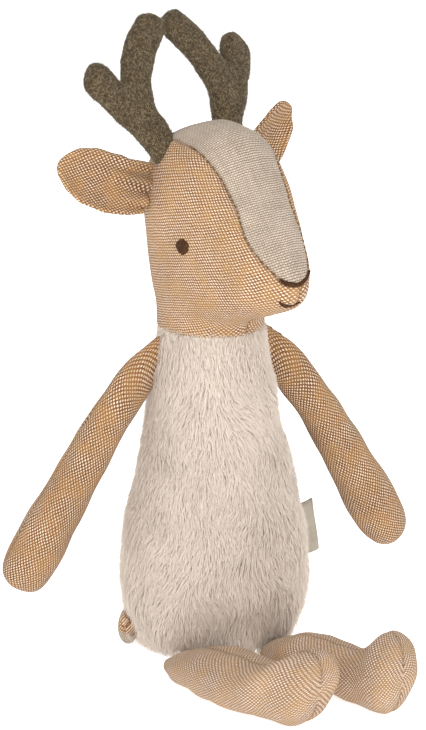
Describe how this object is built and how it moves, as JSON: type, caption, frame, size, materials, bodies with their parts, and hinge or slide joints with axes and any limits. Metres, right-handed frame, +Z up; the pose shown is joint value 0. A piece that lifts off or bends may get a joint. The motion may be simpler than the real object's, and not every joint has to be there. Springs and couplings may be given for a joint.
{
  "type": "plush deer",
  "caption": "Seated stuffed deer toy with a long-pile body, woven cloth head and limbs, linen blaze, felt antlers and sewn-on limbs that swing.",
  "frame": {"origin": "centre of the flat base, on the surface that the toy sits on", "axes": "+Z up, the deer faces -Y, its own left side is at +X"},
  "size_m": [0.1684, 0.1483, 0.2428],
  "materials": {
    "plush": "long-pile plush, matt",
    "tan_cloth": "two-colour woven cloth, matt",
    "pale_cloth": "two-colour woven cloth, matt, paler",
    "linen": "fine plain-woven linen, matt",
    "felt": "wool felt, matt",
    "thread": "embroidery thread, slight sheen",
    "label_tape": "woven tape, bare",
    "fibre": "fibre filling",
    "pellets": "plastic pellets in a cloth pouch"
  },
  "bodies": {
    "torso": {"body_front_panel": "plush", "body_back_panel": "plush", "body_base_panel": "plush", "body_filling": "fibre", "pellet_pouch": "pellets"},
    "head": {"head_right_panel": "tan_cloth", "head_left_panel": "tan_cloth", "head_blaze": "linen", "head_filling": "fibre", "eye_right": "thread", "eye_left": "thread", "nose_stitch": "thread", "mouth_stitch": "thread", "philtrum_stitch": "thread", "antler_right_cover": "felt", "antler_right_filling": "fibre", "antler_left_cover": "felt", "antler_left_filling": "fibre"},
    "ear_right": {"ear_right_front": "tan_cloth", "ear_right_back": "tan_cloth"},
    "ear_left": {"ear_left_front": "tan_cloth", "ear_left_back": "tan_cloth"},
    "arm_right": {"arm_right_cover": "tan_cloth", "arm_right_filling": "fibre"},
    "arm_left": {"arm_left_cover": "tan_cloth", "arm_left_filling": "fibre"},
    "leg_right": {"leg_right_cover": "pale_cloth", "leg_right_filling": "fibre"},
    "leg_left": {"leg_left_cover": "pale_cloth", "leg_left_filling": "fibre"},
    "tail": {"tail_top": "tan_cloth", "tail_underside": "linen"},
    "label": {"side_label": "label_tape"}
  },
  "joints": [
    {"name": "head_turn", "type": "hinge", "parent": "torso", "child": "head", "pos_m": [0, 0, 0.1285], "axis": [0, 0, 1], "range_deg": [-30, 30], "stiffness_Nm_per_rad": 0.03},
    {"name": "arm_right_swing", "type": "hinge", "parent": "torso", "child": "arm_right", "pos_m": [-0.02241, 0, 0.1145], "axis": [0.1491, 0, 0.9888], "range_deg": [-45, 45], "stiffness_Nm_per_rad": 0.01},
    {"name": "arm_left_swing", "type": "hinge", "parent": "torso", "child": "arm_left", "pos_m": [0.02241, 0, 0.1145], "axis": [-0.1491, 0, 0.9888], "range_deg": [-45, 45], "stiffness_Nm_per_rad": 0.01},
    {"name": "leg_right_swing", "type": "hinge", "parent": "torso", "child": "leg_right", "pos_m": [-0.0173, -0.0238, 0.00145], "axis": [0.9397, -0.342, 0], "range_deg": [-18, 50], "stiffness_Nm_per_rad": 0.02},
    {"name": "leg_left_swing", "type": "hinge", "parent": "torso", "child": "leg_left", "pos_m": [0.0173, -0.0238, 0.00145], "axis": [0.9397, 0.342, 0], "range_deg": [-18, 50], "stiffness_Nm_per_rad": 0.02},
    {"name": "ear_right_flap", "type": "hinge", "parent": "head", "child": "ear_right", "pos_m": [-0.02403, 0.00083, 0.1787], "axis": [0.3575, 0.025, 0.9336], "range_deg": [-25, 25], "stiffness_Nm_per_rad": 0.002},
    {"name": "ear_left_flap", "type": "hinge", "parent": "head", "child": "ear_left", "pos_m": [0.01788, 0.01608, 0.1787], "axis": [-0.3134, -0.1737, 0.9336], "range_deg": [-25, 25], "stiffness_Nm_per_rad": 0.002},
    {"name": "tail_swing", "type": "hinge", "parent": "torso", "child": "tail", "pos_m": [-0.02413, 0.02025, 0.00618], "axis": [0, 0, 1], "range_deg": [-45, 0], "stiffness_Nm_per_rad": 0.004},
    {"name": "label_flap", "type": "hinge", "parent": "torso", "child": "label", "pos_m": [0.03721, 0, 0.039], "axis": [-0.1191, 0, 0.9929], "range_deg": [-50, 50], "stiffness_Nm_per_rad": 0.0005}
  ]
}
